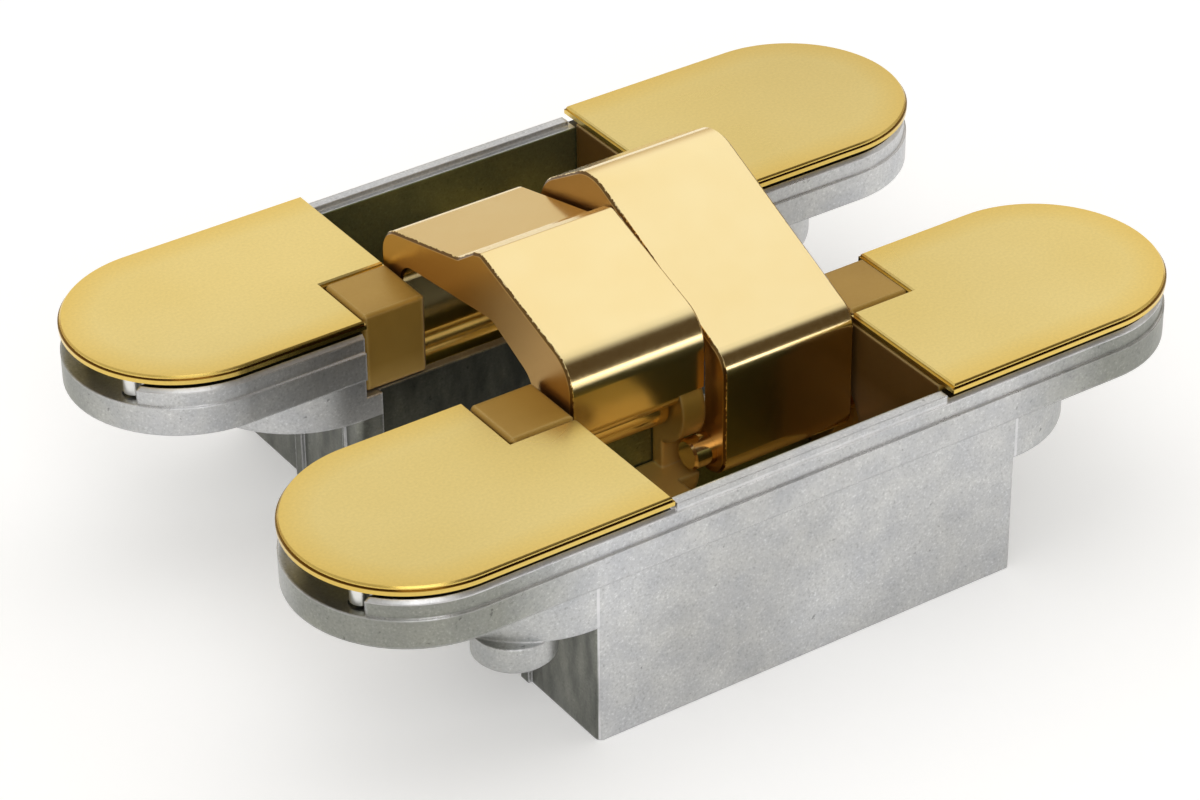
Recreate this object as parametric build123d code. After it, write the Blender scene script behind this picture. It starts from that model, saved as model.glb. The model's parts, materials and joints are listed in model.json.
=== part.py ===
from build123d import *
import math
import os

# Concealed door hinge, fully open: two leaves side by side, joined by two crossing arms.
# Millimetres. X runs along the leaves, Y from the front leaf to the rear leaf, Z up.
# The origin is under the middle of the hinge, on the plane of the two box bottoms.

# Leaves
leaf_length = 120.0
leaf_width = 30.0
leaf_depth = 30.0            # top of the covers to the bottom of the box
open_gap = 21.0              # between the leaves when the hinge is fully open
closed_gap = 4.0             # between the covers when the hinge is shut

# Cover plates
cover_thickness = 1.1
cover_bead = 0.5             # upper part of the plate's edge, set back from the lip
cover_bead_inset = 0.2
cover_edge_chamfer = 0.2
cover_lift = 0.9             # dark gap between plate and flange
cover_span = 39.4            # free opening between the two plates of a leaf
cover_notch_x = 8.9
cover_notch_y = 10.3
cover_peg_radius = 1.4
cover_peg_length = 2.0
cover_pad_radius = 2.6
cover_end_peg_inset = 4.5    # from the leaf's end
cover_end_peg_y = 6.5
cover_inner_peg_inset = 15.3  # from the plate's inner edge
cover_inner_peg_y = 9.0

# Housing casting
flange_thickness = 6.2
flange_upper = 2.4           # upper band of the flange, above the parting line
flange_parting = 0.3         # upper band stands back this much from the lower one
flange_chamfer = 0.5
box_length = 60.0
box_inset = 0.4
box_corner = 0.8
box_wall = 2.2
box_end_wall = 2.6
box_floor = 2.0
rim_lift = 0.7               # outer wall between the covers stands above the flange
rim_width = 1.3
rim_clear = 0.6
gap_wall_drop = 11.0         # gap-side wall is cut down this far below the face
gap_recess = 0.9             # gap-side wall is set back between its corner posts
gap_post = 3.4
shelf_thickness = 5.8        # half-round thickening under the flange at the box ends
screw_boss_radius = 5.0
screw_boss_height = 3.6
screw_boss_x = 37.2
screw_boss_y = 8.4
end_rib_width = 1.6
end_rib_height = 0.5
end_line_width = 0.5         # thin raised line beside the rib, towards the gap
end_line_height = 0.3
end_line_y = 11.0
pry_width = 18.0
pry_depth = 4.6
mount_inset = 12.0           # mounting screws, from the leaf's ends
mount_hole_radius = 2.6
mount_sink_radius = 4.9
mount_sink_depth = 2.6

# Carriage, the inner block that carries the pivot pin and the slide slots
carriage_clear = 0.2
carriage_base = 1.4
carriage_end_wall = 1.2      # left beyond the pivot pin's blind bore
carriage_chamfer = 0.4
lug_setback = 1.1            # corner lugs stand back from the leaf's gap edge
shelf_drop = 16.3            # raised floor beside the deep half
ledge_drop = 10.7            # ledge of that floor along the outer wall
ledge_width = 6.7
ledge_ramp = 6.9             # slope from the ledge to the floor, clear of the shut arm
cover_under_clear = 0.35

# Linkage, in a section across the leaves
pivot_inset = 3.5            # pivot pin behind the leaf's gap edge
pivot_depth = 7.0            # pivot pin below the face
centre_height = 6.8          # crossing pin above the face when open
slide_inset = 8.2            # sliding pin behind the gap edge, when open
slide_depth = 13.0
slot_steps = 10

# Arms
arm_gap = 0.6                # between the two arms
arm_side_clear = 0.4         # between an arm and the cover beside it
arm_edge_chamfer = 0.35
pivot_barrel = 3.1
slide_barrel = 3.4
far_leg = 4.3
near_inner_height = -0.6     # underside of the arms: at the near leg, in the middle, at the far leg
mid_inner_height = 3.3
mid_inner_y = 2.5
far_inner_height = 1.0
inner_round = 3.0
left_near_leg = 5.2          # left arm: near face, full bend, crest, step down behind it, far bend
left_near_foot = 1.5         # lower edge of the near face, above the pivot pin
left_bend_height = 5.0
left_bend_round = 5.0
left_crest_y = -0.3
left_crest_height = 11.4
left_crest_round = 1.2
left_step_y = 1.4
left_step_height = 10.8
left_step_round = 1.0
left_foot_y = 4.8
left_foot_height = 8.4
left_foot_round = 2.0
left_far_height = 4.2
left_far_round = 4.0
right_near_leg = 3.1         # right arm: rounder hump towards its own leaf, one straight slope
right_near_foot = 0.0
right_bend_height = 6.5
right_bend_round = 6.0
right_crest_y = -6.0
right_crest_height = 13.4
right_crest_round = 6.0
right_far_height = 0.6
right_far_round = 3.4

# Pins, bushes and screws
pivot_pin_radius = 1.6
slide_pin_radius = 2.0
slide_pin_reach = 3.0        # pin ends stand out of the arm into the slots
centre_pin_radius = 1.9
bush_wall = 0.8
centre_blind = 2.2           # metal left beyond the blind bore of the crossing pin
pin_chamfer = 0.3
washer_thickness = 0.4
washer_radius = 3.4
running_clear = 0.05
seat_clear = 0.02
slot_clear = 0.25
side_clear = 0.35
pivot_lug_width = 3.2
pivot_lug_radius = 2.9
pivot_lug_foot = 1.2         # foot of the lug, from the pin towards the pocket
pivot_lug_web = 5.6          # radius of the lug's web on the pocket side
pivot_lug_room = 3.0         # the arm is relieved round the lug, beyond its barrel
clamp_screw_radius = 2.0
clamp_head_radius = 3.2
clamp_head_height = 2.4
clamp_socket = 3.0
clamp_socket_depth = 1.4
clamp_y = 4.0                # from the leaf's middle towards its outer edge
adjuster_radius = 2.1
adjuster_length = 6.0
adjuster_drop = 2.6
adjuster_x = 10.2
adjuster_y = 6.5             # from the leaf's middle towards its outer edge
screw_clear = 0.1
cut_over = 1.0               # cutters run past the faces that they open

# Levels and edges that follow from the sizes above
face_z = leaf_depth
gap_edge_y = -open_gap / 2
outer_edge_y = gap_edge_y - leaf_width
leaf_y = (gap_edge_y + outer_edge_y) / 2
cover_under_z = face_z - cover_thickness
flange_top_z = cover_under_z - cover_lift
flange_bottom_z = flange_top_z - flange_thickness
rim_top_z = flange_top_z + rim_lift
gap_wall_z = face_z - gap_wall_drop
span = cover_span / 2
notch_x = span + cover_notch_x
notch_y = gap_edge_y - cover_notch_y
pocket_x = box_length / 2 - box_end_wall
pocket_outer_y = outer_edge_y + box_inset + box_wall
pocket_gap_y = gap_edge_y - box_inset - box_wall
shelf_z = face_z - shelf_drop
ledge_z = face_z - ledge_drop
block_top_z = cover_under_z - cover_under_clear
mount_spacing = leaf_length - 2 * mount_inset
arm_inner_x = arm_gap / 2
arm_outer_x = span - arm_side_clear
pivot_lug_x = arm_inner_x + side_clear + pivot_lug_width
pivot_pin_end = -(pocket_x - carriage_clear - carriage_end_wall)

# Section points of the linkage: each is (y, z) at the open position
pivot = (gap_edge_y - pivot_inset, face_z - pivot_depth)
centre = (0.0, face_z + centre_height)
slide = (gap_edge_y - slide_inset, face_z - slide_depth)
far_place = (-slide[0], slide[1])
pivot_reach = math.dist(pivot, centre)
slide_reach = math.dist(slide, centre)
open_angle = math.atan2(centre[1] - pivot[1], centre[0] - pivot[0])
closed_angle = math.pi - math.asin((face_z + closed_gap / 2 - pivot[1]) / pivot_reach)
arm_turn = closed_angle - open_angle
slide_angle = math.atan2(slide[1] - centre[1], slide[0] - centre[0])
slide_turn = math.pi - arm_turn


def slide_point(share):
    """Place of the sliding pin in the front leaf, for a share of the closing motion."""
    first = open_angle + share * arm_turn
    second = slide_angle + share * slide_turn
    y = pivot[0] + pivot_reach * math.cos(first) + slide_reach * math.cos(second)
    z = pivot[1] + pivot_reach * math.sin(first) + slide_reach * math.sin(second)
    return y, z


def block(x0, x1, y0, y1, z0, z1):
    """Rectangular block between two corners."""
    middle = Pos((x0 + x1) / 2, (y0 + y1) / 2, (z0 + z1) / 2)
    return middle * Box(abs(x1 - x0), abs(y1 - y0), abs(z1 - z0))


def bar(x0, x1, place, radius):
    """Round bar along X through a section point."""
    return Pos((x0 + x1) / 2, place[0], place[1]) * Rot(0, 90, 0) * Cylinder(radius, abs(x1 - x0))


def post(x, y, z0, z1, radius):
    """Round post along Z."""
    return Pos(x, y, (z0 + z1) / 2) * Cylinder(radius, z1 - z0)


def pin(x0, x1, place, radius):
    """Ground pin along X with chamfered ends."""
    return chamfer(bar(x0, x1, place, radius).edges(), pin_chamfer)


def stadium(inset, z):
    """Outline of a leaf, set in all round, on a level."""
    outline = SlotOverall(leaf_length - 2 * inset, leaf_width - 2 * inset)
    return Plane.XY.offset(z) * Pos(0, leaf_y) * outline


def peg_places(side):
    """Places of the clip pegs under one cover; side is -1 for left, 1 for right."""
    end_x = side * (leaf_length / 2 - cover_end_peg_inset)
    inner_x = side * (span + cover_inner_peg_inset)
    return [
        (end_x, leaf_y - cover_end_peg_y),
        (end_x, leaf_y + cover_end_peg_y),
        (inner_x, leaf_y - cover_inner_peg_y),
        (inner_x, leaf_y + cover_inner_peg_y),
    ]


def clamp_place(side):
    """Place of a carriage screw under one cover."""
    return side * (span + pocket_x) / 2, leaf_y - clamp_y


def make_housing():
    """Zinc casting of one leaf: flange, box with an open pocket, bosses and screw holes."""
    upper = extrude(stadium(flange_parting, flange_top_z - flange_upper), flange_upper)
    upper = chamfer(upper.faces().sort_by(Axis.Z)[-1].edges(), flange_chamfer)
    lower = extrude(stadium(0, flange_bottom_z), flange_thickness - flange_upper)
    box_sketch = RectangleRounded(box_length, leaf_width - 2 * box_inset, box_corner)
    box = extrude(Pos(0, leaf_y) * box_sketch, flange_bottom_z)
    rim = block(
        -span + rim_clear, span - rim_clear,
        outer_edge_y + box_inset, outer_edge_y + box_inset + rim_width, flange_bottom_z, rim_top_z,
    )
    body = upper + lower + box + rim

    for side in (-1, 1):
        end_x = side * box_length / 2
        shelf = post(
            end_x, leaf_y, flange_bottom_z - shelf_thickness, flange_bottom_z,
            leaf_width / 2 - box_inset,
        )
        rib = block(
            end_x, end_x + side * end_rib_height,
            leaf_y - end_rib_width / 2, leaf_y + end_rib_width / 2, 0, flange_bottom_z,
        )
        line_y = leaf_y + end_line_y
        line = block(
            end_x, end_x + side * end_line_height,
            line_y - end_line_width / 2, line_y + end_line_width / 2, 0, flange_bottom_z,
        )
        body = body + shelf + rib + line
    shelf_bottom_z = flange_bottom_z - shelf_thickness
    boss = post(
        -screw_boss_x, leaf_y - screw_boss_y, shelf_bottom_z - screw_boss_height, shelf_bottom_z,
        screw_boss_radius,
    )
    boss = chamfer(boss.faces().sort_by(Axis.Z)[0].edges(), flange_chamfer)
    body = body + boss

    body = body - block(
        -pocket_x, pocket_x, pocket_outer_y, pocket_gap_y, box_floor, face_z,
    )
    lug_room_x = notch_x + carriage_clear
    body = body - block(
        -lug_room_x, lug_room_x, notch_y - carriage_clear, gap_edge_y + cut_over,
        gap_wall_z, face_z,
    )
    body = body - block(
        -box_length / 2 + gap_post, box_length / 2 - gap_post,
        gap_edge_y - box_inset - gap_recess, gap_edge_y + cut_over, -cut_over, gap_wall_z + cut_over,
    )

    for side in (-1, 1):
        hole_x = side * mount_spacing / 2
        sink = Pos(hole_x, leaf_y, flange_top_z - mount_sink_depth / 2)
        sink = sink * Cone(mount_hole_radius, mount_sink_radius, mount_sink_depth)
        hole_z = shelf_bottom_z - cut_over
        body = body - post(hole_x, leaf_y, hole_z, flange_top_z + cut_over, mount_hole_radius)
        body = body - sink
        pry_x = side * (leaf_length / 2 - pry_depth)
        body = body - block(
            pry_x, side * (leaf_length / 2 + cut_over), leaf_y - pry_width / 2, leaf_y + pry_width / 2,
            flange_top_z - flange_upper, face_z,
        )
        for x, y in peg_places(side):
            body = body - post(
                x, y, flange_top_z - cover_peg_length - cut_over, flange_top_z + cut_over,
                cover_peg_radius + screw_clear,
            )
        x, y = clamp_place(side)
        body = body - post(x, y, -cut_over, box_floor + cut_over, clamp_screw_radius + seat_clear)
    return body


def cover_outline(side, inset, z):
    """Half of the leaf's outline on one side of the opening, with its corner notch."""
    inner_x = side * (span + inset)
    end_x = side * leaf_length
    half = Pos((inner_x + end_x) / 2, leaf_y) * Rectangle(abs(end_x - inner_x), 2 * leaf_width)
    notch_end_x = side * (notch_x + inset)
    notch_edge_y = notch_y - inset
    notch = Rectangle(abs(notch_end_x), leaf_width)
    notch = Pos(notch_end_x / 2, notch_edge_y + leaf_width / 2) * notch
    plane = Plane.XY.offset(z)
    return stadium(inset, z) & (plane * half) - (plane * notch)


def make_cover(side):
    """Gilt cover plate with a bead along its edge, clipped into the flange by four pegs."""
    lip = extrude(cover_outline(side, 0, cover_under_z), cover_thickness - cover_bead)
    bead = extrude(cover_outline(side, cover_bead_inset, face_z - cover_bead), cover_bead)
    bead = chamfer(bead.faces().sort_by(Axis.Z)[-1].edges(), cover_edge_chamfer)
    plate = lip + bead
    for x, y in peg_places(side):
        plate = plate + post(x, y, flange_top_z - cover_peg_length, cover_under_z, cover_peg_radius)
        if abs(x) < leaf_length / 2 - pry_depth:
            plate = plate + post(x, y, flange_top_z, cover_under_z, cover_pad_radius)
    return plate


def slot_cut(x0, x1):
    """Curved slot along the sliding pin's path, as a cutter between two places on X."""
    radius = slide_pin_radius + slot_clear
    cutter = None
    for step in range(slot_steps):
        first = slide_point(step / slot_steps)
        second = slide_point((step + 1) / slot_steps)
        run = math.dist(first, second)
        turn = math.degrees(math.atan2(second[1] - first[1], second[0] - first[0]))
        middle = Pos((first[0] + second[0]) / 2, (first[1] + second[1]) / 2)
        piece = middle * Rot(0, 0, turn) * SlotCenterToCenter(run, 2 * radius)
        cutter = piece if cutter is None else cutter + piece
    return extrude(Plane.YZ.offset(x0) * cutter, x1 - x0)


def make_carriage():
    """Bronze-coloured inner block: base, end blocks with corner lugs, raised floor and slots."""
    x_end = pocket_x - carriage_clear
    y_out = pocket_outer_y + carriage_clear
    y_gap = pocket_gap_y - carriage_clear
    body = block(-x_end, x_end, y_out, y_gap, box_floor, box_floor + carriage_base)
    lug_y0 = notch_y + carriage_clear
    lug_y1 = gap_edge_y - lug_setback
    for side in (-1, 1):
        body = body + block(side * span, side * x_end, y_out, y_gap, box_floor, block_top_z)
        lug = block(
            side * span, side * (notch_x - carriage_clear), lug_y0, lug_y1,
            gap_wall_z + carriage_clear, face_z,
        )
        body = body + chamfer(lug.edges(), carriage_chamfer)
    shelf_x = -arm_inner_x - side_clear
    body = body + block(-span, shelf_x, y_out, y_gap, box_floor, shelf_z)
    ledge = Polygon(
        (y_out, shelf_z), (y_out + ledge_width + ledge_ramp, shelf_z),
        (y_out + ledge_width, ledge_z), (y_out, ledge_z), align=None,
    )
    body = body + extrude(Plane.YZ.offset(-span) * ledge, span + shelf_x)
    ear = bar(-pivot_lug_x, shelf_x, pivot, pivot_lug_radius)
    ear = ear + block(-pivot_lug_x, shelf_x, pivot[0] - pivot_lug_foot, y_gap, box_floor, pivot[1])
    web = bar(-pivot_lug_x, shelf_x, pivot, pivot_lug_web)
    web = web & block(-pivot_lug_x, shelf_x, pivot[0] - pivot_lug_web, y_gap, box_floor, face_z)
    body = body + ear + web

    body = body - bar(pivot_pin_end, shelf_x + cut_over, pivot, pivot_pin_radius + seat_clear)
    pin_end = slide_pin_reach + side_clear
    body = body - slot_cut(-arm_inner_x - pin_end, shelf_x + cut_over)
    body = body - slot_cut(span - cut_over, arm_outer_x + pin_end)
    for side in (-1, 1):
        x, y = clamp_place(side)
        body = body - post(x, y, 0, face_z, clamp_screw_radius + screw_clear)
        head_z = block_top_z - clamp_head_height
        body = body - post(x, y, head_z, face_z, clamp_head_radius + screw_clear)
    body = body - post(
        -adjuster_x, leaf_y - adjuster_y, ledge_z - adjuster_drop - adjuster_length, face_z,
        adjuster_radius + seat_clear,
    )
    return body


def arm_section(roof, near_foot):
    """Section of an arm: near leg on the pivot, roof over the gap, far leg to the slide pin.

    The roof is a list of (y, height above the face, rounding), from the near bend to the far bend.
    """
    rear_y = far_place[0] + slide_barrel
    near_y = pivot[0] + pivot_barrel
    near_face_y = roof[0][0]
    points = [(near_face_y, pivot[1] + near_foot)]
    radii = [pivot[0] - pivot_barrel - near_face_y]
    for y, height, rounding in roof:
        points.append((y, face_z + height))
        radii.append(rounding)
    points.append((rear_y, slide[1]))
    points.append((rear_y - far_leg, slide[1]))
    points.append((rear_y - far_leg, face_z + far_inner_height))
    points.append((-mid_inner_y, face_z + mid_inner_height))
    points.append((near_y, face_z + near_inner_height))
    points.append((near_y, pivot[1]))
    radii = radii + [0, 0, inner_round, inner_round, inner_round, 0]
    outline = make_face(FilletPolyline(*points, radius=radii, close=True))
    near_barrel = Pos(*pivot) * Circle(pivot_barrel)
    far_barrel = Pos(*far_place) * Circle(slide_barrel)
    return outline + near_barrel + far_barrel


def make_arm(section):
    """Gilt cast arm on the left of the hinge, bored for its bushes and its slide pin."""
    body = extrude(Plane.YZ.offset(-arm_outer_x) * section, arm_outer_x - arm_inner_x)
    body = chamfer(body.faces().sort_by(Axis.X)[0].edges(), arm_edge_chamfer)
    body = chamfer(body.faces().sort_by(Axis.X)[-1].edges(), arm_edge_chamfer)
    ear_room = pivot_lug_x + side_clear
    body = body - bar(-ear_room, cut_over, pivot, pivot_barrel + pivot_lug_room)
    bush_radius = pivot_pin_radius + running_clear + bush_wall
    body = body - bar(-arm_outer_x - cut_over, cut_over, pivot, bush_radius + seat_clear)
    body = body - bar(-arm_outer_x - cut_over, cut_over, far_place, slide_pin_radius + seat_clear)
    bush_radius = centre_pin_radius + running_clear + bush_wall
    body = body - bar(-arm_outer_x + centre_blind, cut_over, centre, bush_radius + seat_clear)
    return body


def make_bush(x0, x1, place, pin_radius):
    """Plain bush, pressed into an arm and running on a pin."""
    bore = pin_radius + running_clear
    return bar(x0, x1, place, bore + bush_wall) - bar(x0 - cut_over, x1 + cut_over, place, bore)


def make_clamp_screws():
    """Two socket screws that hold the carriage down on the box floor."""
    screws = []
    head_z = block_top_z - clamp_head_height
    for side in (-1, 1):
        x, y = clamp_place(side)
        screw = post(x, y, head_z, block_top_z, clamp_head_radius)
        screw = screw + post(x, y, box_floor / 2, head_z, clamp_screw_radius)
        socket = RegularPolygon(clamp_socket / 2, 6, major_radius=False)
        socket = Plane.XY.offset(block_top_z - clamp_socket_depth) * Pos(x, y) * socket
        screws.append(screw - extrude(socket, clamp_socket_depth + cut_over))
    return Compound(children=screws)


def make_adjuster():
    """Socket set screw under the round hole in the ledge."""
    top_z = ledge_z - adjuster_drop
    y = leaf_y - adjuster_y
    screw = post(-adjuster_x, y, top_z - adjuster_length, top_z, adjuster_radius)
    socket = RegularPolygon(clamp_socket / 2, 6, major_radius=False)
    socket = Plane.XY.offset(top_z - clamp_socket_depth) * Pos(-adjuster_x, y) * socket
    return screw - extrude(socket, clamp_socket_depth + cut_over)


half_turn = Rot(0, 0, 180)
far_face_y = far_place[0] + slide_barrel
left_roof = [
    (pivot[0] - left_near_leg, left_bend_height, left_bend_round),
    (left_crest_y, left_crest_height, left_crest_round),
    (left_step_y, left_step_height, left_step_round),
    (left_foot_y, left_foot_height, left_foot_round),
    (far_face_y, left_far_height, left_far_round),
]
right_roof = [
    (pivot[0] - right_near_leg, right_bend_height, right_bend_round),
    (right_crest_y, right_crest_height, right_crest_round),
    (far_face_y, right_far_height, right_far_round),
]
pivot_pin = pin(pivot_pin_end, -arm_inner_x - side_clear, pivot, pivot_pin_radius)
pivot_bush = make_bush(
    -arm_outer_x, -pivot_lug_x - side_clear, pivot, pivot_pin_radius,
)
centre_bush = make_bush(-arm_outer_x + centre_blind, -arm_inner_x, centre, centre_pin_radius)
slide_pin = pin(-arm_outer_x - slide_pin_reach, slide_pin_reach - arm_inner_x, far_place, slide_pin_radius)
centre_pin_end = arm_outer_x - centre_blind - running_clear
housing = make_housing()
carriage = make_carriage()
cover_left = make_cover(-1)
cover_right = make_cover(1)
clamp_screws = make_clamp_screws()
adjuster = make_adjuster()
washer = bar(-washer_thickness / 2, washer_thickness / 2, centre, washer_radius)

nodes = {
    "housing_front": housing,
    "carriage_front": carriage,
    "cover_front_left": cover_left,
    "cover_front_right": cover_right,
    "clamp_screws_front": clamp_screws,
    "adjuster_front": adjuster,
    "pivot_pin_front": pivot_pin,
    "arm_left": make_arm(arm_section(left_roof, left_near_foot)),
    "pivot_bush_left": pivot_bush,
    "centre_bush_left": centre_bush,
    "slide_pin_left": slide_pin,
    "centre_pin": pin(-centre_pin_end, centre_pin_end, centre, centre_pin_radius),
    "centre_washer": washer - bar(-cut_over, cut_over, centre, centre_pin_radius + running_clear),
    "arm_right": half_turn * make_arm(arm_section(right_roof, right_near_foot)),
    "pivot_bush_right": half_turn * pivot_bush,
    "centre_bush_right": half_turn * centre_bush,
    "slide_pin_right": half_turn * slide_pin,
    "housing_rear": half_turn * housing,
    "carriage_rear": half_turn * carriage,
    "cover_rear_right": half_turn * cover_left,
    "cover_rear_left": half_turn * cover_right,
    "clamp_screws_rear": half_turn * clamp_screws,
    "adjuster_rear": half_turn * adjuster,
    "pivot_pin_rear": half_turn * pivot_pin,
}

os.makedirs("parts", exist_ok=True)
for name, shape in nodes.items():
    export_step(shape, f"parts/{name}.step")
print("arm turn", round(math.degrees(arm_turn), 4), "of a leaf turn of 180")
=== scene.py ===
# %% [markdown]
# # Dressing a concealed door hinge
# The hinge lies open: two zinc leaves side by side, gilt covers on top, bronze blocks inside, and two
# polished arms that cross over the gap. The solids come ready made and stay where they are. This lesson
# sets a camera, gives every piece its finish, and builds a studio round them.

# %% Load the frame
import json
import math
import bmesh
import bpy
from mathutils import Matrix, Vector


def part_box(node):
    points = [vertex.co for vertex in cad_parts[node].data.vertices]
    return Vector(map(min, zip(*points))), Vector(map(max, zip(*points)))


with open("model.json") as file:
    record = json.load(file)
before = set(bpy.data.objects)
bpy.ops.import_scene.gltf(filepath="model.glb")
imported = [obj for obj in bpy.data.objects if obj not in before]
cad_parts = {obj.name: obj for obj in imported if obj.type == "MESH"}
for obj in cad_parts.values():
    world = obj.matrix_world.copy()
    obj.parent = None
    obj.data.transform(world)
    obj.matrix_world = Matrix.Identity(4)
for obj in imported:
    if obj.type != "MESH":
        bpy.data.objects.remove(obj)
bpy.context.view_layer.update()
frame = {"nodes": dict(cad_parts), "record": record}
nodes = frame["nodes"]
mm = 0.001

# %% [markdown]
# ## The camera
# The photograph looks down on the hinge from the front left with a long lens. A camera can be aimed by a
# constraint, but here its axes are worked out, because the view also has a slight roll.

# %% Where the camera looks from
view_azimuth = math.radians(-33.888)
view_elevation = math.radians(33.275)
view_roll = math.radians(-0.63)
back = Vector((
    math.sin(view_azimuth) * math.cos(view_elevation),
    -math.cos(view_azimuth) * math.cos(view_elevation),
    math.sin(view_elevation),
))
level_right = (-back).cross(Vector((0, 0, 1))).normalized()
level_up = level_right.cross(-back)
right = level_right * math.cos(view_roll) + level_up * math.sin(view_roll)
up = level_up * math.cos(view_roll) - level_right * math.sin(view_roll)
print("from the hinge to the camera", [round(c, 3) for c in back])

# %% Camera at the photograph's angle
scene = bpy.context.scene
view_distance = 478.9 * mm
view_right = 16.2 * mm
view_up = 2.13 * mm
focal_pixels = 4136.4
frame_pixels = 1200
sensor_width = 36
nearest_seen = 0.01
farthest_seen = 20
front_low, front_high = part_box("cover_front_left")
aim = Vector((0, (front_low.y + front_high.y) / 2, front_high.z))
place = aim + back * view_distance - right * view_right - up * view_up
turn = Matrix((right, up, back)).transposed().to_4x4()

camera_data = bpy.data.cameras.new("camera")
camera = bpy.data.objects.new("camera", camera_data)
scene.collection.objects.link(camera)
camera_data.sensor_width = sensor_width
camera_data.lens = focal_pixels / frame_pixels * sensor_width
camera_data.clip_start = nearest_seen
camera_data.clip_end = farthest_seen
camera.matrix_world = Matrix.Translation(place) @ turn
scene.camera = camera
print("lens", round(camera_data.lens, 1), "mm, camera at", [round(c, 3) for c in place])

# %% [markdown]
# ## Tools for finishes
# Real metal is never one even colour: it has clouds, grain and marks. Each could be painted as a picture,
# but pictures blur close up, so every finish here is noise in a node tree. Each helper below places one
# kind of node and returns its socket, so that a finish further on reads as a list of what the metal shows.


# %% Start and end of a finish
def new_finish(name):
    """A new material with a Principled shader; returns material, node tree and shader."""
    material = bpy.data.materials.new(name)
    material.use_nodes = True
    tree = material.node_tree
    return material, tree, tree.nodes["Principled BSDF"]


def end_finish(tree, shader, colour, roughness, metal, normal=None):
    """Put what a finish is made of on the shader; metal is one number for the whole surface."""
    tree.links.new(colour, shader.inputs["Base Color"])
    shader.inputs["Metallic"].default_value = metal
    tree.links.new(roughness, shader.inputs["Roughness"])
    if normal is not None:
        tree.links.new(normal, shader.inputs["Normal"])


# %% Noise and what is read from it
def grain(tree, scale, detail=3.0, roughness=0.55, stretch=(1, 1, 1), shift=(0, 0, 0)):
    """Noise on the object's own coordinates; scale is in patches per metre."""
    place = tree.nodes.new("ShaderNodeTexCoord")
    mapping = tree.nodes.new("ShaderNodeMapping")
    mapping.inputs["Scale"].default_value = stretch
    mapping.inputs["Location"].default_value = shift
    noise = tree.nodes.new("ShaderNodeTexNoise")
    noise.inputs["Scale"].default_value = scale
    noise.inputs["Detail"].default_value = detail
    noise.inputs["Roughness"].default_value = roughness
    tree.links.new(place.outputs["Object"], mapping.inputs["Vector"])
    tree.links.new(mapping.outputs["Vector"], noise.inputs["Vector"])
    return noise.outputs["Fac"]


def ramp(tree, value, stops):
    """Colours along a value; stops are (position, colour)."""
    node = tree.nodes.new("ShaderNodeValToRGB")
    elements = node.color_ramp.elements
    while len(elements) < len(stops):
        elements.new(0.5)
    for element, (position, colour) in zip(elements, stops):
        element.position = position
        element.color = (*colour, 1)
    tree.links.new(value, node.inputs["Fac"])
    return node.outputs["Color"]


def spread(tree, value, low, high, start=0.3, end=0.7):
    """A number between low and high, from the stretch of a value between start and end."""
    node = tree.nodes.new("ShaderNodeMapRange")
    node.inputs["From Min"].default_value = start
    node.inputs["From Max"].default_value = end
    node.inputs["To Min"].default_value = low
    node.inputs["To Max"].default_value = high
    tree.links.new(value, node.inputs["Value"])
    return node.outputs["Result"]


# %% Colours laid over each other
def plug(tree, value, socket):
    """Put a plain value on a socket, or link another socket to it."""
    if isinstance(value, bpy.types.NodeSocket):
        tree.links.new(value, socket)
    else:
        socket.default_value = value


def mix(tree, share, first, second, blend="MIX"):
    """Two colours mixed; each is a socket or a plain colour."""
    node = tree.nodes.new("ShaderNodeMix")
    node.data_type = "RGBA"
    node.blend_type = blend
    plug(tree, share, node.inputs["Factor"])
    # The node has sockets for numbers and vectors too; inputs 6 and 7 and output 2 are its colours.
    for socket, value in zip(node.inputs[6:8], (first, second)):
        plug(tree, (*value, 1) if isinstance(value, tuple) else value, socket)
    return node.outputs[2]


def tint(tree, colour, glaze, share=1.0):
    """A colour seen through a glaze, all over or where a mark is 1."""
    return mix(tree, share, colour, glaze, "MULTIPLY")


def grey(level):
    """A neutral colour."""
    return (level, level, level)


# %% [markdown]
# ## Relief
# Cast skin has a fine relief, and no edge of a casting is truly sharp. Modelling either would take millions
# of faces. A bump bends the light by the noise's height, and a Bevel node rolls the light over the edges,
# which at this size looks the same.


# %% Relief and rolled edges
def bump(tree, height, strength, depth, base=None):
    """Bump from a height, on top of other normals if they are given."""
    node = tree.nodes.new("ShaderNodeBump")
    node.inputs["Strength"].default_value = strength
    node.inputs["Distance"].default_value = depth
    tree.links.new(height, node.inputs["Height"])
    if base is not None:
        tree.links.new(base, node.inputs["Normal"])
    return node.outputs["Normal"]


def soft_edges(tree, radius):
    """Normals that roll over the edges of the piece."""
    node = tree.nodes.new("ShaderNodeBevel")
    node.samples = 4
    node.inputs["Radius"].default_value = radius
    return node.outputs["Normal"]


def worn_and_highlit_edges(tree, radius):
    """A mark that rises to 1 at the edges of the piece, from how far the rolled normals turn away."""
    flat = tree.nodes.new("ShaderNodeNewGeometry")
    dot = tree.nodes.new("ShaderNodeVectorMath")
    dot.operation = "DOT_PRODUCT"
    tree.links.new(soft_edges(tree, radius), dot.inputs[0])
    tree.links.new(flat.outputs["Normal"], dot.inputs[1])
    return spread(tree, dot.outputs["Value"], low=1.0, high=0.0, start=0.8, end=0.99)


# %% [markdown]
# ## Where a finish or painted light changes
# Some castings change finish from face to face, and some faces here get painted light. The arms are polished
# on their broad faces and painted darker on their sides as painted shade, the pockets get painted shade
# inside, and edges are rubbed bright, partly as painted highlight. Painting would need a map; here the
# part's own coordinates say where a face lies, so one shader covers the whole piece and moves with it. Both
# leaves have the same form, turned half round, so x and y are read without their signs.


# %% Places read on a piece
def sums(tree, operation, first, second=0.0, third=0.0):
    """A Math node on values or sockets."""
    node = tree.nodes.new("ShaderNodeMath")
    node.operation = operation
    for socket, value in zip(node.inputs, (first, second, third)):
        plug(tree, value, socket)
    return node.outputs["Value"]


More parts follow.
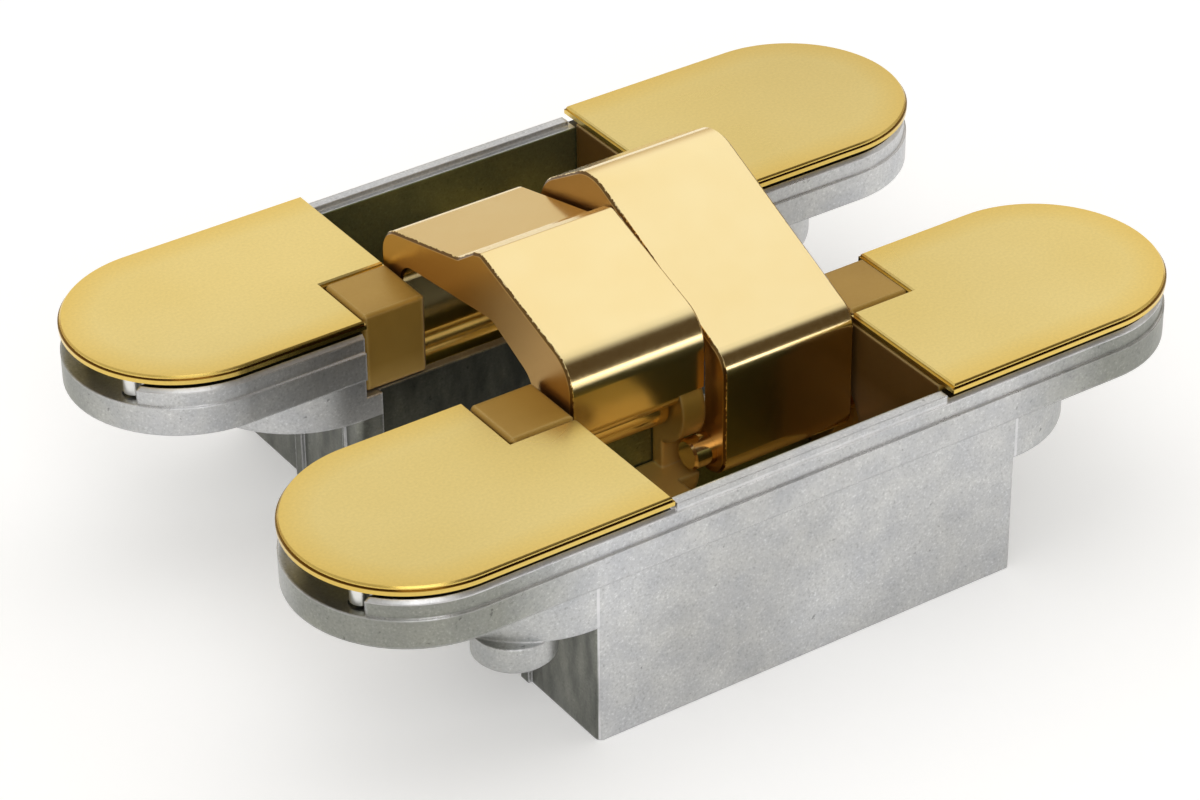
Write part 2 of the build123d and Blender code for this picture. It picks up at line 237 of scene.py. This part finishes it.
def across(tree, output):
    """The sizes of x, y and z, without their signs, of a place or a normal on the piece."""
    place = tree.nodes.new("ShaderNodeTexCoord")
    split = tree.nodes.new("ShaderNodeSeparateXYZ")
    tree.links.new(place.outputs[output], split.inputs["Vector"])
    return [sums(tree, "ABSOLUTE", split.outputs[axis]) for axis in "XYZ"]


# %% Marks made from places
def all_of(tree, mark, *others):
    """1 where every mark is 1."""
    for other in others:
        mark = sums(tree, "MULTIPLY", mark, other)
    return mark


def any_of(tree, mark, *others):
    """1 where at least one mark is 1."""
    for other in others:
        mark = sums(tree, "MAXIMUM", mark, other)
    return mark


def above(tree, value, bound):
    """1 where a value is over a bound, else 0."""
    return sums(tree, "GREATER_THAN", value, bound)


def below(tree, value, bound):
    """1 where a value is under a bound, else 0."""
    return sums(tree, "LESS_THAN", value, bound)


def between(tree, value, low, high):
    """1 where a value lies between two bounds, else 0."""
    return all_of(tree, above(tree, value, low), below(tree, value, high))


def facing_ends(tree):
    """1 on faces that look along the leaf, towards its ends."""
    mostly = 0.7
    return above(tree, across(tree, "Normal")[0], mostly)


# %% Giving pieces their finish
slot_of = {row["node"]: row["material_slot"] for row in frame["record"]["subparts"]}


def in_slot(slot):
    """Names of the pieces in one of the record's material slots."""
    return [name for name, taken in slot_of.items() if taken == slot]


def dress(material, names):
    """Give the named pieces a finish."""
    for name in names:
        materials = nodes[name].data.materials
        materials.clear()
        materials.append(material)
    print(material.name, "on", ", ".join(sorted(names)))


print("material slots", sorted(set(slot_of.values())))

# %% [markdown]
# ## Zinc
# The leaves are raw die castings with clouds, grain, pits, scratches and rubbed edges. Over these lie
# painted shade on the end walls, the gap wall, the round ends and in the pockets, a painted shadow under the
# covers and painted highlights on the edges. Each mark has its own cell below and lies over the one before.
# First come the places where the marks begin and end: they are measured on the solids where a box gives
# them, and otherwise named sizes of the casting. A bound that falls right on a face would flicker, so a
# small play keeps the bounds off the faces.

# %% Places on the leaves
face_play = 0.05 * mm
housing_low, housing_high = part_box("housing_rear")
rim_z = housing_high.z
rim_lift = 0.7 * mm
flange_z = rim_z - rim_lift
flange_thickness = 6.2 * mm
under_flange_z = flange_z - flange_thickness
shelf_thickness = 5.8 * mm
under_shelf_z = under_flange_z - shelf_thickness
box_end_x = 30 * mm
box_floor = 2 * mm
rolled_edge = 0.6 * mm
print("flange from", round(under_flange_z / mm, 2), "to", round(flange_z / mm, 2), "mm")

# %% [markdown]
# ### Cast skin
# The skin is smooth grey in large soft clouds. Cool and warm patches lie over them, then a fine sparkle, a
# few pits and short scratches along the leaf. One noise with much detail would blend all these sizes into
# mud, so each kind of mark has a noise of its own.

# %% Cast skin of the zinc
zinc_shade = (0.475, 0.475, 0.465)
zinc_pale = (0.625, 0.635, 0.65)
cool_patch = (0.85, 0.86, 0.89)
warm_patch = (1.14, 1.13, 1.10)
sparkle_stops = [(0.3, grey(0.74)), (0.43, grey(0.96)), (0.58, grey(1.02)), (0.70, grey(1.30))]
pit_stops = [(0.25, grey(0.55)), (0.32, grey(1))]
scratch_pale = grey(0.8)


def cast_skin(tree, clouds, mottle, sparkle, pits):
    """The grey of the casting, before any wear or stain."""
    colour = ramp(tree, clouds, [(0.25, zinc_shade), (0.75, zinc_pale)])
    colour = tint(tree, colour, ramp(tree, mottle, [(0.2, cool_patch), (0.8, warm_patch)]))
    colour = tint(tree, colour, ramp(tree, sparkle, sparkle_stops))
    colour = tint(tree, colour, ramp(tree, pits, pit_stops))
    scratches = grain(tree, scale=900, detail=2, roughness=0.5, stretch=(0.12, 1, 1))
    scratched = spread(tree, scratches, low=0, high=0.6, start=0.73, end=0.78)
    return mix(tree, scratched, colour, scratch_pale)


print("zinc from", zinc_shade, "to", zinc_pale)

# %% [markdown]
# ### Painted shade on the end walls and the gap wall
# The box ends and the low gap side get a painted shade with streaks up and down, and the wall in the gap
# a darker painted shadow. A second material on those faces would show a hard limit between two greys; a
# glaze over the same skin lets clouds and sparkle run on through it.

# %% Painted shade on the walls of the zinc
gap_recess = 1.3 * mm
gap_wall_y = housing_low.y + gap_recess
gap_wall_drop = 9.7 * mm
gap_wall_z = rim_z - gap_wall_drop
gap_post_x = 26.6 * mm
box_end_play = 1 * mm
# Colours of the painted shade: streaks on the box ends and low gap side, a darker painted shadow on the gap
# wall.
wall_shade_dark = (0.20, 0.205, 0.18)
wall_shade_pale = (0.43, 0.435, 0.38)
gap_wall_shadow = (0.40, 0.40, 0.36)


def paint_shade_on_walls(tree, colour):
    """Streaked painted shade on the box ends and the gap side, and a darker painted shadow on the wall in
    the gap.
    """
    x, y, z = across(tree, "Object")
    box_end = all_of(tree, facing_ends(tree), below(tree, x, box_end_x + box_end_play))
    gap_side = below(tree, y, gap_wall_y + face_play)
    gap_height = between(tree, z, 0, gap_wall_z + face_play)
    gap_wall = all_of(tree, gap_side, gap_height, below(tree, x, gap_post_x))
    low_wall = all_of(tree, below(tree, z, under_shelf_z - face_play), any_of(tree, box_end, gap_side))
    streaks = grain(tree, scale=320, detail=3, roughness=0.6, stretch=(1, 1, 0.3))
    wall_shade_streaks = ramp(tree, streaks, [(0.35, wall_shade_dark), (0.65, wall_shade_pale)])
    colour = tint(tree, colour, wall_shade_streaks, any_of(tree, low_wall, gap_wall))
    return tint(tree, colour, gap_wall_shadow, gap_wall)


print("gap wall up to", round(gap_wall_z / mm, 2), "mm")

# %% [markdown]
# ### Painted shade on the round ends
# The sides of the round ends get a painted shade, darker than the box. The shade has no limit that the eye
# can find, so its mark is not a step but three rises multiplied together: along the leaf, up from the shelf
# to the flange, and away from the gap.

# %% Round ends of the zinc
shade_fade = 1 * mm
shade_tip = 17 * mm
clear_of_gap = 4 * mm
far_from_gap = 16 * mm
shade_start_x = box_end_x - shade_fade
shade_full_x = housing_high.x - shade_tip
shade_start_y = housing_low.y + clear_of_gap
shade_full_y = housing_low.y + far_from_gap
shade_start_z = under_flange_z - shade_fade
shade_on_shelf = 0.5
# Colour of the painted shade on the sides of the round ends.
round_end_shade = (0.50, 0.505, 0.45)


def shade_round_ends(tree, colour):
    """A painted shade on the sides of the round ends, half as strong on the shelf under the flange."""
    x, y, z = across(tree, "Object")
    along = spread(tree, x, low=0, high=1, start=shade_start_x, end=shade_full_x)
    upwards = spread(tree, z, low=shade_on_shelf, high=1, start=shade_start_z, end=under_flange_z)
    outwards = spread(tree, y, low=0, high=1, start=shade_start_y, end=shade_full_y)
    side = below(tree, z, flange_z - rolled_edge)
    return tint(tree, colour, round_end_shade, all_of(tree, along, side, upwards, outwards))


# Where the painted shade on the round ends starts and where it is full, along the leaf.
print("dull from x", round(shade_start_x / mm, 2), "to", round(shade_full_x / mm, 2), "mm")

# %% [markdown]
# ### Rubbed edges and painted highlights
# Edges that touch a bench or a hand are rubbed bright, and the same pale colour also stands as a painted
# highlight along them. The Bevel node finds sharp edges by itself. The rounded corner of the box and the
# rolled edge of the flange are too soft for it, so their places add them; on the rolled edge the pale colour
# is a painted highlight.

# %% Rubbed edges and painted highlights of the zinc
box_corner = 0.33 * mm
box_set_back = 0.4 * mm
box_side_y = housing_high.y - box_set_back
rolled_highlight = 0.6
rubbed_radius = 0.45 * mm
# Pale colour of the edges: rubbed zinc and painted highlight.
rubbed_and_highlight_zinc = (0.80, 0.80, 0.82)


def rubbed_and_highlit_edges(tree, mottle):
    """A mark on the edges, rubbed bright and also a painted highlight, broken up by the patches of the skin.
    """
    x, y, z = across(tree, "Object")
    corner_x = between(tree, x, box_end_x - box_corner, box_end_x + face_play)
    corner_y = above(tree, y, box_side_y - box_corner)
    corner = all_of(tree, corner_x, corner_y, below(tree, z, under_flange_z))
    rolled = between(tree, z, flange_z - rolled_edge, flange_z - face_play)
    rolled = sums(tree, "MULTIPLY", rolled, rolled_highlight)
    wear_and_highlight = any_of(tree, worn_and_highlit_edges(tree, rubbed_radius), corner, rolled)
    return sums(tree, "MULTIPLY", wear_and_highlight, spread(tree, mottle, low=0.3, high=1.0))


print("box side at y", round(box_side_y / mm, 2), "mm")

# %% [markdown]
# ### Painted shade in the pockets
# The pockets get a brown-green painted shade with a painted reflection of the blocks that sit in them, and
# the seats under the covers a dark painted shadow. Faces could be picked by hand and given materials of
# their own, but both lie inside plain boxes, so bounds on x, y and z are enough to find them.

# %% Pockets of the zinc
carriage_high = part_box("carriage_rear")[1]
cover_low, cover_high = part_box("cover_rear_right")
pocket_clear = 0.2 * mm
pocket_wall = 2.6 * mm
pocket_x = carriage_high.x + pocket_clear
pocket_outer_y = carriage_high.y + pocket_clear
pocket_gap_y = housing_low.y + pocket_wall
pocket_low_z = box_floor / 2
# Painted shade and painted reflection in the pockets, and a painted shadow on the seats under the covers.
pocket_shade_and_reflection = (0.43, 0.51, 0.29)
seat_shadow = (0.04, 0.04, 0.035)


def shade_pockets(tree, colour):
    """A brown-green painted shade with painted reflection in the pockets, and painted shadow on the seats
    under the covers.
    """
    x, y, z = across(tree, "Object")
    pocket_y = between(tree, y, pocket_gap_y - face_play, pocket_outer_y + face_play)
    pocket_z = between(tree, z, pocket_low_z, rim_z - face_play)
    inside = all_of(tree, pocket_y, pocket_z, below(tree, x, pocket_x + face_play))
    seat_z = between(tree, z, flange_z - face_play, flange_z + face_play)
    seat = all_of(tree, seat_z, above(tree, x, cover_low.x))
    colour = tint(tree, colour, pocket_shade_and_reflection, inside)
    return mix(tree, seat, colour, seat_shadow)


print("pocket up to x", round(pocket_x / mm, 2), "mm")

# %% [markdown]
# ### The whole zinc finish
# The order matters: the rubbed edges and their painted highlights cut through the painted shade on the
# walls, so they come after it, and the painted shade in the pockets covers all. Rubbed edges are also
# smoother, and the pits and the sparkle are in the relief as well as in the colour.

# %% Zinc casting
zinc_edge = 0.35 * mm
rubbed_gloss = 0.14


def make_zinc():
    material, tree, shader = new_finish("zinc_casting")
    clouds = grain(tree, scale=40, detail=2, roughness=0.5)
    mottle = grain(tree, scale=230, detail=3, roughness=0.6)
    sparkle = grain(tree, scale=3000, detail=3, roughness=0.7)
    pits = grain(tree, scale=900, detail=3, roughness=0.6)
    wear_and_highlight = rubbed_and_highlit_edges(tree, mottle)
    colour = cast_skin(tree, clouds, mottle, sparkle, pits)
    colour = paint_shade_on_walls(tree, colour)
    colour = shade_round_ends(tree, colour)
    colour = mix(tree, wear_and_highlight, colour, rubbed_and_highlight_zinc)
    colour = shade_pockets(tree, colour)
    roughness = spread(tree, clouds, low=0.33, high=0.42)
    roughness = sums(tree, "MULTIPLY_ADD", wear_and_highlight, -rubbed_gloss, roughness)
    relief = bump(tree, pits, strength=0.25, depth=0.04 * mm, base=soft_edges(tree, zinc_edge))
    relief = bump(tree, sparkle, strength=0.3, depth=0.02 * mm, base=relief)
    end_finish(tree, shader, colour, roughness, metal=0.92, normal=relief)
    return material


dress(make_zinc(), in_slot("zinc_casting"))

# %% [markdown]
# ## Bronze lacquer
# The carriages are castings under a satin bronze lacquer. It follows the cast grain and runs thin over the
# edges, which look rounder than they were cut; the paler colour there is thin lacquer and painted highlight.
# The rounding could be modelled; on so small a radius the shader's own edge rounding gives the same light
# line. Down in the pocket the lacquer is painted paler, as painted light where the pocket lies in shade, and
# the end walls beside the covers get a darker brown painted shade.

# %% Places on the carriages
pocket_light_depth = 11 * mm
plain_lacquer_depth = 6 * mm
end_wall_inwards = 2 * mm
end_wall_outwards = 0.5 * mm
pocket_light_z = rim_z - pocket_light_depth
plain_lacquer_z = rim_z - plain_lacquer_depth
end_wall_low_x = cover_low.x - end_wall_inwards
end_wall_high_x = cover_low.x + end_wall_outwards
# Below this height the lacquer is painted paler, as painted light in the pocket.
print("fresh lacquer below", round(pocket_light_z / mm, 2), "mm")

# %% Bronze lacquer
# Plain lacquer, and a paler lacquer painted as light down in the pocket.
plain_lacquer = [(0.3, (0.38, 0.22, 0.035)), (0.7, (0.45, 0.27, 0.05))]
pocket_light_lacquer = [(0.3, (0.62, 0.39, 0.10)), (0.7, (0.70, 0.46, 0.14))]
# Painted shade on the end walls beside the covers.
end_wall_shade = (0.48, 0.42, 0.62)
# Paler colour on the edges: thin lacquer and painted highlight.
thin_lacquer_and_highlight = (0.72, 0.55, 0.25)
thin_share = 0.55
thin_edge = 0.5 * mm
lacquer_edge = 0.7 * mm


def make_bronze():
    material, tree, shader = new_finish("bronze_lacquer")
    clouds = grain(tree, scale=90)
    fine = grain(tree, scale=2200)
    x, _, z = across(tree, "Object")
    depth = spread(tree, z, low=1, high=0, start=pocket_light_z, end=plain_lacquer_z)
    end_wall = all_of(tree, facing_ends(tree), between(tree, x, end_wall_low_x, end_wall_high_x))
    thin = sums(tree, "MULTIPLY", worn_and_highlit_edges(tree, thin_edge), thin_share)
    colour = mix(tree, depth, ramp(tree, clouds, plain_lacquer), ramp(tree, clouds, pocket_light_lacquer))
    colour = tint(tree, colour, end_wall_shade, end_wall)
    colour = mix(tree, thin, colour, thin_lacquer_and_highlight)
    roughness = spread(tree, fine, low=0.34, high=0.44)
    relief = bump(tree, fine, strength=0.3, depth=0.03 * mm, base=soft_edges(tree, lacquer_edge))
    end_finish(tree, shader, colour, roughness, metal=0.5, normal=relief)
    return material


dress(make_bronze(), in_slot("bronze_lacquer"))

# %% [markdown]
# ## Gilt covers
# The cover plates are plated to a satin sheen. The plating is pale in the middle and a little warmer along
# the outline, with faint clouds, and a slow drift makes one part of a plate lighter than another. The
# outline is a long round-ended shape, so one distance from the line through the middle of the leaf tells
# how near the edge a point lies. A painted mask would do the same, but only for one plate.

# %% Places on the covers
leaf_middle_y = (cover_low.y + cover_high.y) / 2
leaf_half_width = (cover_high.y - cover_low.y) / 2
round_end_x = cover_high.x - leaf_half_width
warm_band = 4.5 * mm
turned_band = 0.4 * mm
turned_fade = 0.2 * mm
turned_start = leaf_half_width - turned_band
turned_full = turned_start + turned_fade
cover_bead = 0.5 * mm
step_line_down = 0.07 * mm
step_line_up = 0.04 * mm
cover_step_z = cover_high.z - cover_bead
step_low_z = cover_step_z - step_line_down
step_high_z = cover_step_z + step_line_up
cover_thickness = 1.1 * mm
cover_under_z = cover_high.z - cover_thickness
print("cover half width", round(leaf_half_width / mm, 2), "mm, round end from x", round(round_end_x / mm, 2))


# %% Distance from the middle of a leaf
def reach_from_middle(tree, x, y):
    """How far a place lies from the middle line of its leaf, also round the end."""
    past_end = sums(tree, "MAXIMUM", sums(tree, "SUBTRACT", x, round_end_x), 0.0)
    sideways = sums(tree, "SUBTRACT", y, leaf_middle_y)
    along_squared = sums(tree, "MULTIPLY", past_end, past_end)
    sideways_squared = sums(tree, "MULTIPLY", sideways, sideways)
    return sums(tree, "SQRT", sums(tree, "ADD", along_squared, sideways_squared))


# %% [markdown]
# ### The satin gilt
# Where the edge of a plate turns down it is smoother, and a thin dark painted shadow marks the step under
# its bead.
# The pegs below the plate are rubbed bare as they snap in and out. All of this sits in one shader, because
# the plate and its pegs are one piece.

# %% Satin gilt of the covers
gilt_middle = [(0.2, (0.69, 0.525, 0.17)), (0.8, (0.76, 0.61, 0.245))]
gilt_rim = [(0.2, (0.69, 0.475, 0.105)), (0.8, (0.74, 0.54, 0.155))]
drift_stops = [(0.3, grey(0.90)), (0.7, grey(1.10))]
speck_stops = [(0.3, grey(0.96)), (0.7, grey(1.04))]
# Painted shadow along the step under the bead.
step_shadow = (0.20, 0.115, 0.025)
peg_bare = (0.78, 0.78, 0.76)
turned_gloss = 0.13


def make_cover_gilt():
    material, tree, shader = new_finish("gilt_cover")
    clouds = grain(tree, scale=42, detail=2, roughness=0.5)
    waves = grain(tree, scale=260, detail=1, roughness=0.5)
    specks = grain(tree, scale=2600, detail=2, roughness=0.6)
    drift = grain(tree, scale=14, detail=1, roughness=0.5, shift=(0.05, 0.02, 0))
    x, y, z = across(tree, "Object")
    reach = reach_from_middle(tree, x, y)
    warm = spread(tree, reach, low=0, high=1, start=leaf_half_width - warm_band, end=leaf_half_width)
    turned = spread(tree, reach, low=0, high=1, start=turned_start, end=turned_full)
    step = all_of(tree, between(tree, z, step_low_z, step_high_z), turned)
    colour = mix(tree, warm, ramp(tree, clouds, gilt_middle), ramp(tree, clouds, gilt_rim))
    colour = tint(tree, colour, ramp(tree, drift, drift_stops))
    colour = tint(tree, colour, ramp(tree, specks, speck_stops))
    colour = mix(tree, step, colour, step_shadow)
    colour = mix(tree, below(tree, z, cover_under_z - face_play), colour, peg_bare)
    roughness = spread(tree, clouds, low=0.25, high=0.34, start=0.2, end=0.8)
    roughness = sums(tree, "MULTIPLY_ADD", turned, -turned_gloss, roughness)
    relief = bump(tree, waves, strength=0.1, depth=0.01 * mm)
    end_finish(tree, shader, colour, roughness, metal=1.0, normal=relief)
    return material


dress(make_cover_gilt(), in_slot("gilt_cover"))

# %% [markdown]
# ## Polished arms
# The arms are plated and polished on their broad faces, and their sides are painted a darker brown gold as
# painted shade. The polish stops short of the edges, which stay a thin dark line. Three materials on three
# sets of faces could show this, but a polisher's limit wanders a little, so the place across the arm tells
# the three apart and noise moves the limit of the line.

# %% Places on the arms
arm_low, arm_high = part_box("arm_right")
arm_side_x = arm_high.x
arm_gap_x = arm_low.x
arm_rim = 0.3 * mm
rim_wander = 0.09 * mm
print("arm from", round(arm_gap_x / mm, 2), "to", round(arm_side_x / mm, 2), "mm")

# %% Polished gilt of the arms
polished_stops = [(0.3, (0.93, 0.73, 0.355)), (0.7, (0.96, 0.79, 0.43))]
arm_rim_dark = (0.17, 0.095, 0.03)
# Darker gold on the sides of the arms is painted shade.
arm_side_shade = (0.52, 0.31, 0.10)
rim_dulling = 0.17


def make_arm_gilt():
    material, tree, shader = new_finish("gilt_arm")
    clouds = grain(tree, scale=60)
    fine = grain(tree, scale=1900)
    x = across(tree, "Object")[0]
    side = any_of(tree, above(tree, x, arm_side_x - face_play), below(tree, x, arm_gap_x + face_play))
    ragged = spread(tree, grain(tree, scale=2400, detail=2), low=-rim_wander, high=rim_wander)
    wander = sums(tree, "ADD", x, ragged)
    gap_rim = below(tree, wander, arm_gap_x + arm_rim)
    rim = any_of(tree, gap_rim, above(tree, wander, arm_side_x - arm_rim))
    colour = mix(tree, rim, ramp(tree, clouds, polished_stops), arm_rim_dark)
    colour = mix(tree, side, colour, arm_side_shade)
    roughness = spread(tree, fine, low=0.15, high=0.19)
    roughness = sums(tree, "MULTIPLY_ADD", rim, rim_dulling, roughness)
    relief = bump(tree, fine, strength=0.06, depth=0.008 * mm)
    end_finish(tree, shader, colour, roughness, metal=1.0, normal=relief)
    return material


dress(make_arm_gilt(), in_slot("gilt_arm"))

# %% [markdown]
# ## Pins, bushes and washer
# Pins and bushes are turned on a lathe, which leaves fine rings. They are mostly out of sight, so a picture
# of real tool marks would be lost on them. Noise squeezed along the axis and drawn out round it is enough.
# The two slide pins are plated like the arms. The washer is moulded, so it has a plain fine grain instead.

# %% Small turned parts
ring_shade = 0.82
ring_smooth = 0.8
ring_rough = 1.2


def make_turned(name, colour, roughness):
    material, tree, shader = new_finish(name)
    rings = grain(tree, scale=900, detail=2, stretch=(6, 0.4, 0.4))
    groove = tuple(ring_shade * c for c in colour)
    ringed = ramp(tree, rings, [(0.3, groove), (0.7, colour)])
    ring_gloss = spread(tree, rings, low=roughness * ring_smooth, high=roughness * ring_rough)
    end_finish(tree, shader, ringed, ring_gloss, metal=1.0)
    return material


slide_pins = ["slide_pin_left", "slide_pin_right"]
plain_pins = [name for name in in_slot("pin_steel") if name not in slide_pins]
dress(make_turned("bush_bronze", colour=(0.45, 0.31, 0.12), roughness=0.3), in_slot("bush_bronze"))
dress(make_turned("pin_steel", colour=(0.72, 0.72, 0.72), roughness=0.22), plain_pins)
dress(make_turned("slide_gilt", colour=(0.90, 0.66, 0.34), roughness=0.16), slide_pins)


# %% Moulded washer
def make_plastic():
    material, tree, shader = new_finish("washer_plastic")
    fine = grain(tree, scale=1200, detail=2)
    colour = ramp(tree, fine, [(0.3, (0.70, 0.69, 0.65)), (0.7, (0.78, 0.77, 0.73))])
    end_finish(tree, shader, colour, spread(tree, fine, low=0.4, high=0.5), metal=0.0)
    return material


dress(make_plastic(), in_slot("washer_plastic"))

# %% [markdown]
# ## Floor
# The hinge lies on plain pale paper, a single large sheet. A curved backdrop would do too, but from above
# the flat sheet already fills the view. The sheet shows white to the camera and in the metal by a faint
# glow that only those rays see, so it adds no light to dull surfaces and still takes the shadow of the
# hinge. It lies a hair below the leaves, because two faces in one plane flicker.

# %% Floor
floor_half = 4
floor_drop = 0.05 * mm
floor_mesh = bpy.data.meshes.new("floor")
floor_bm = bmesh.new()
bmesh.ops.create_grid(floor_bm, x_segments=1, y_segments=1, size=floor_half)
bmesh.ops.translate(floor_bm, verts=floor_bm.verts, vec=(0, 0, -floor_drop))
floor_bm.to_mesh(floor_mesh)
floor_bm.free()
floor = bpy.data.objects.new("floor", floor_mesh)
scene.collection.objects.link(floor)
print("floor", 2 * floor_half, "m wide,", round(floor_drop / mm, 2), "mm down")

# %% Paper of the floor
paper = (0.92, 0.92, 0.92, 1)
paper_glow = 0.27
floor_material, floor_tree, floor_shader = new_finish("floor_paper")
floor_shader.inputs["Base Color"].default_value = paper
floor_shader.inputs["Roughness"].default_value = 0.9
floor_shader.inputs["Emission Color"].default_value = (1, 1, 1, 1)
light_path = floor_tree.nodes.new("ShaderNodeLightPath")
seeing_rays = ("Is Camera Ray", "Is Glossy Ray", "Is Transmission Ray")
seen = any_of(floor_tree, *(light_path.outputs[ray] for ray in seeing_rays))
glow = sums(floor_tree, "MULTIPLY", seen, paper_glow)
floor_tree.links.new(glow, floor_shader.inputs["Emission Strength"])
floor_mesh.materials.append(floor_material)
print("paper glows", paper_glow, "to", ", ".join(seeing_rays))

# %% [markdown]
# ## Studio light
# Polished metal shows what stands round it, so the studio is built from what the arms show. A white dome
# that is brightest above and behind gives the cream slopes and the pale covers. One dark flag at the front
# right is the brown band along each bend, and a low bright strip under it draws the white line below that
# band. Near the horizon the dome turns warm. Lamps could stand in for the dome, but their edges would be
# sharp in the metal, so the dome is painted by direction.

# %% Dome
world = bpy.data.worlds.new("dome")
world.use_nodes = True
scene.world = world
dome = world.node_tree
dome_place = dome.nodes.new("ShaderNodeTexCoord")


def towards(direction):
    """How far a direction of the dome points the same way as another, from -1 to 1."""
    node = dome.nodes.new("ShaderNodeVectorMath")
    node.operation = "DOT_PRODUCT"
    dome.links.new(dome_place.outputs["Generated"], node.inputs[0])
    node.inputs[1].default_value = Vector(direction).normalized()
    return node.outputs["Value"]


bright_side = (0.25, 0.55, 0.80)
white_stops = [(0.4, grey(0.50)), (0.7, (0.62, 0.615, 0.60)), (0.93, (1.02, 1.01, 0.99))]
horizon_stops = [(0.06, (0.74, 0.61, 0.43)), (0.5, grey(1))]
fade = spread(dome, towards(bright_side), low=0, high=1, start=-1, end=1)
height = spread(dome, towards((0, 0, 1)), low=0, high=1, start=0, end=1)
dome_colour = tint(dome, ramp(dome, fade, white_stops), ramp(dome, height, horizon_stops))
print("dome brightest towards", bright_side)

# %% Dark flag on the dome
flag_side = (0.513, -0.858, 0)
flag_across = (0.858, 0.513, 0)
flag_middle = 0.05
flag_splay = 0.2
flag_dark = (0.066, 0.044, 0.022)
beside = sums(dome, "ABSOLUTE", sums(dome, "SUBTRACT", towards(flag_across), flag_middle))
beside = sums(dome, "MULTIPLY_ADD", height, -flag_splay, beside)
flag_sides = spread(dome, beside, low=1, high=0, start=0.08, end=0.20)
flag_foot = spread(dome, height, low=0, high=1, start=0.07, end=0.13)
flag_top = spread(dome, towards(flag_side), low=0, high=1, start=0.45, end=0.68)
dome_colour = mix(dome, all_of(dome, flag_sides, flag_foot, flag_top), dome_colour, flag_dark)
dome.links.new(dome_colour, dome.nodes["Background"].inputs["Color"])
print("dome nodes", len(dome.nodes))

# %% [markdown]
# ### Lamps
# Two softboxes add what the dome can't. A large one at the front left lifts the front of the leaves and
# throws the soft shadow, and a long low one at the front right draws the white line in the arms. Small
# lamps would burn spots into the gilt, so both are wide and weak.


# %% Lamps
def softbox(name, place, aim_at, width, depth, power):
    """A rectangular lamp at a place, facing a point."""
    data = bpy.data.lights.new(name, "AREA")
    data.shape = "RECTANGLE"
    data.size = width
    data.size_y = depth
    data.energy = power
    lamp = bpy.data.objects.new(name, data)
    lamp.location = place
    lamp.rotation_euler = (Vector(aim_at) - Vector(place)).to_track_quat("-Z", "Y").to_euler()
    lamp.visible_camera = False
    scene.collection.objects.link(lamp)
    print(name, "lamp", width, "by", depth, "m,", power, "W")


softbox("key", place=(-0.5, -1.05, 1.0), aim_at=(0, 0, 0.02), width=0.8, depth=0.8, power=4.5)
softbox("horizon", place=(0.70, -1.33, 0.10), aim_at=(0, 0, 0.10), width=1.4, depth=0.20, power=1.7)
scene.view_settings.view_transform = "Standard"
